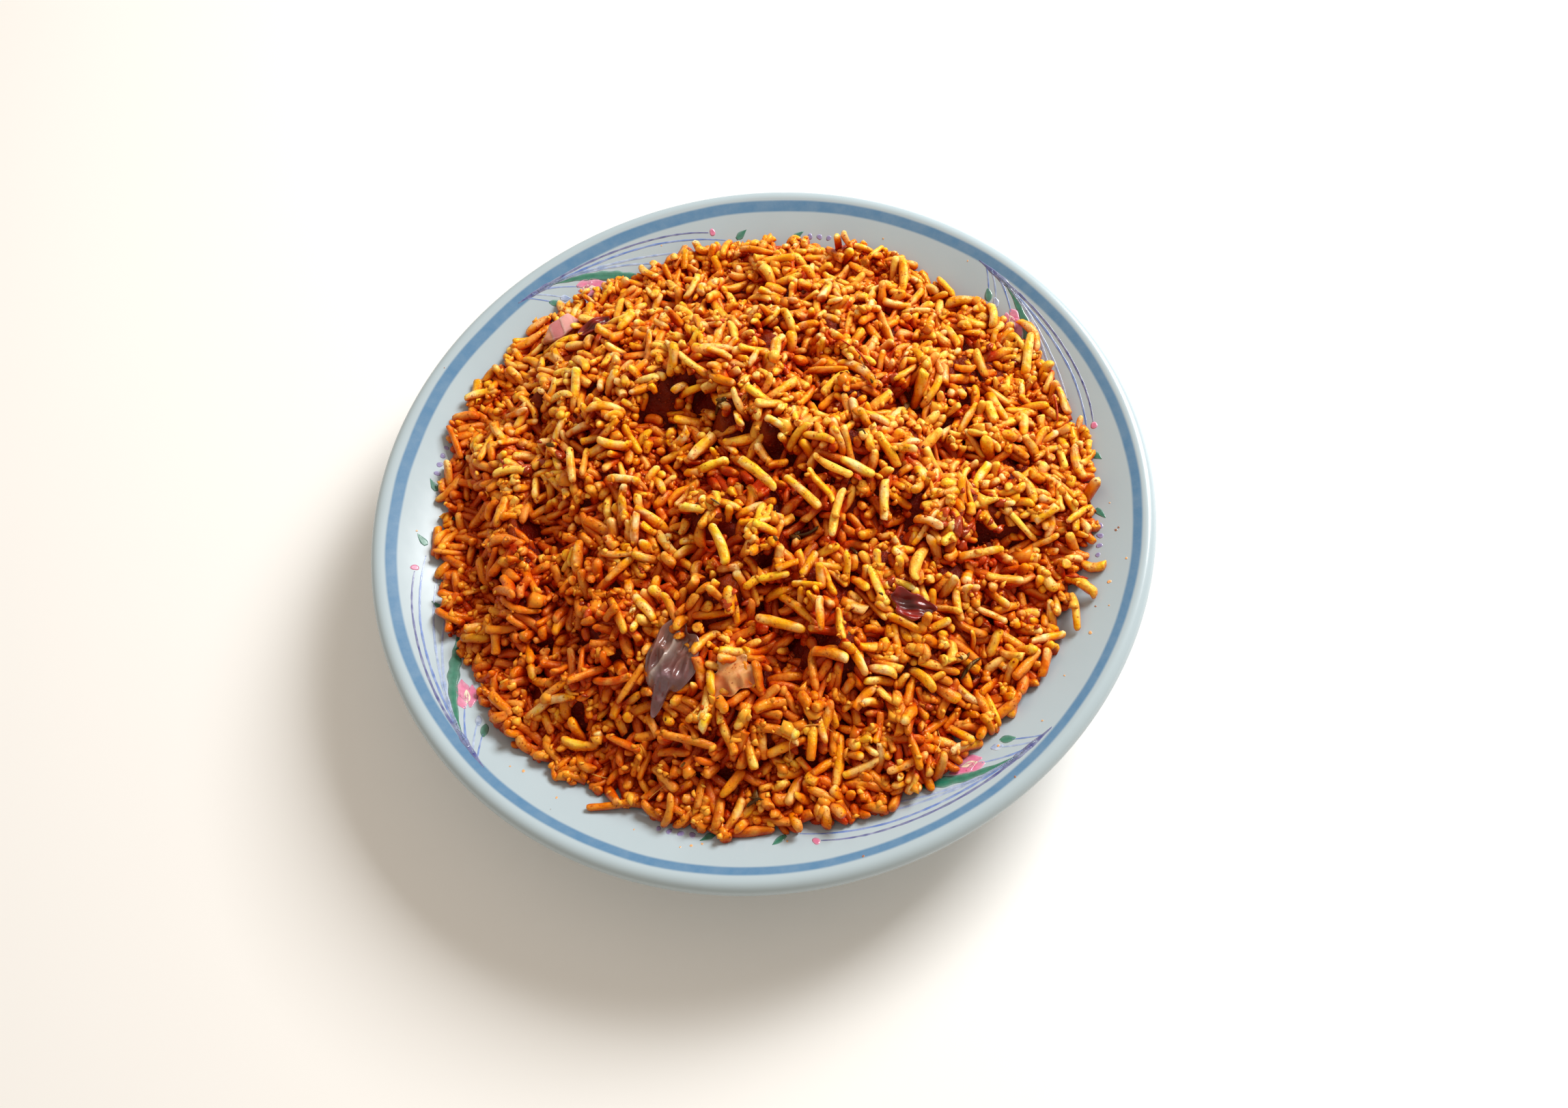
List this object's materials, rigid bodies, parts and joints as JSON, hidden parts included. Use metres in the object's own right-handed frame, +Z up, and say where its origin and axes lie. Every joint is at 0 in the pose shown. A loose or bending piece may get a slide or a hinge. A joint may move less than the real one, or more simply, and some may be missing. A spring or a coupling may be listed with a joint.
{
  "type": "plate of jollof rice",
  "caption": "Shallow round glazed dish heaped with orange long grain rice, with onion and pepper pieces, standing on its foot ring.",
  "frame": {"origin": "middle of the circle that the foot ring stands on", "axes": "+Z up, square to the rim; -Y is the side nearest the viewer"},
  "size_m": [0.21, 0.21, 0.0566],
  "materials": {
    "dish_glaze": "glossy white glaze with a painted blue band and sprays",
    "cooked_rice": "oily orange cooked rice",
    "onion": "wet, translucent cooked onion",
    "pepper_skin": "oily dark red pepper skin"
  },
  "bodies": {
    "root": {"plate": "dish_glaze", "rice_heap": "cooked_rice", "onion_petal_front": "onion", "onion_chunk_back": "onion", "onion_layer_front": "onion", "pepper_skin_right": "pepper_skin", "pepper_skin_back": "pepper_skin"}
  },
  "joints": []
}
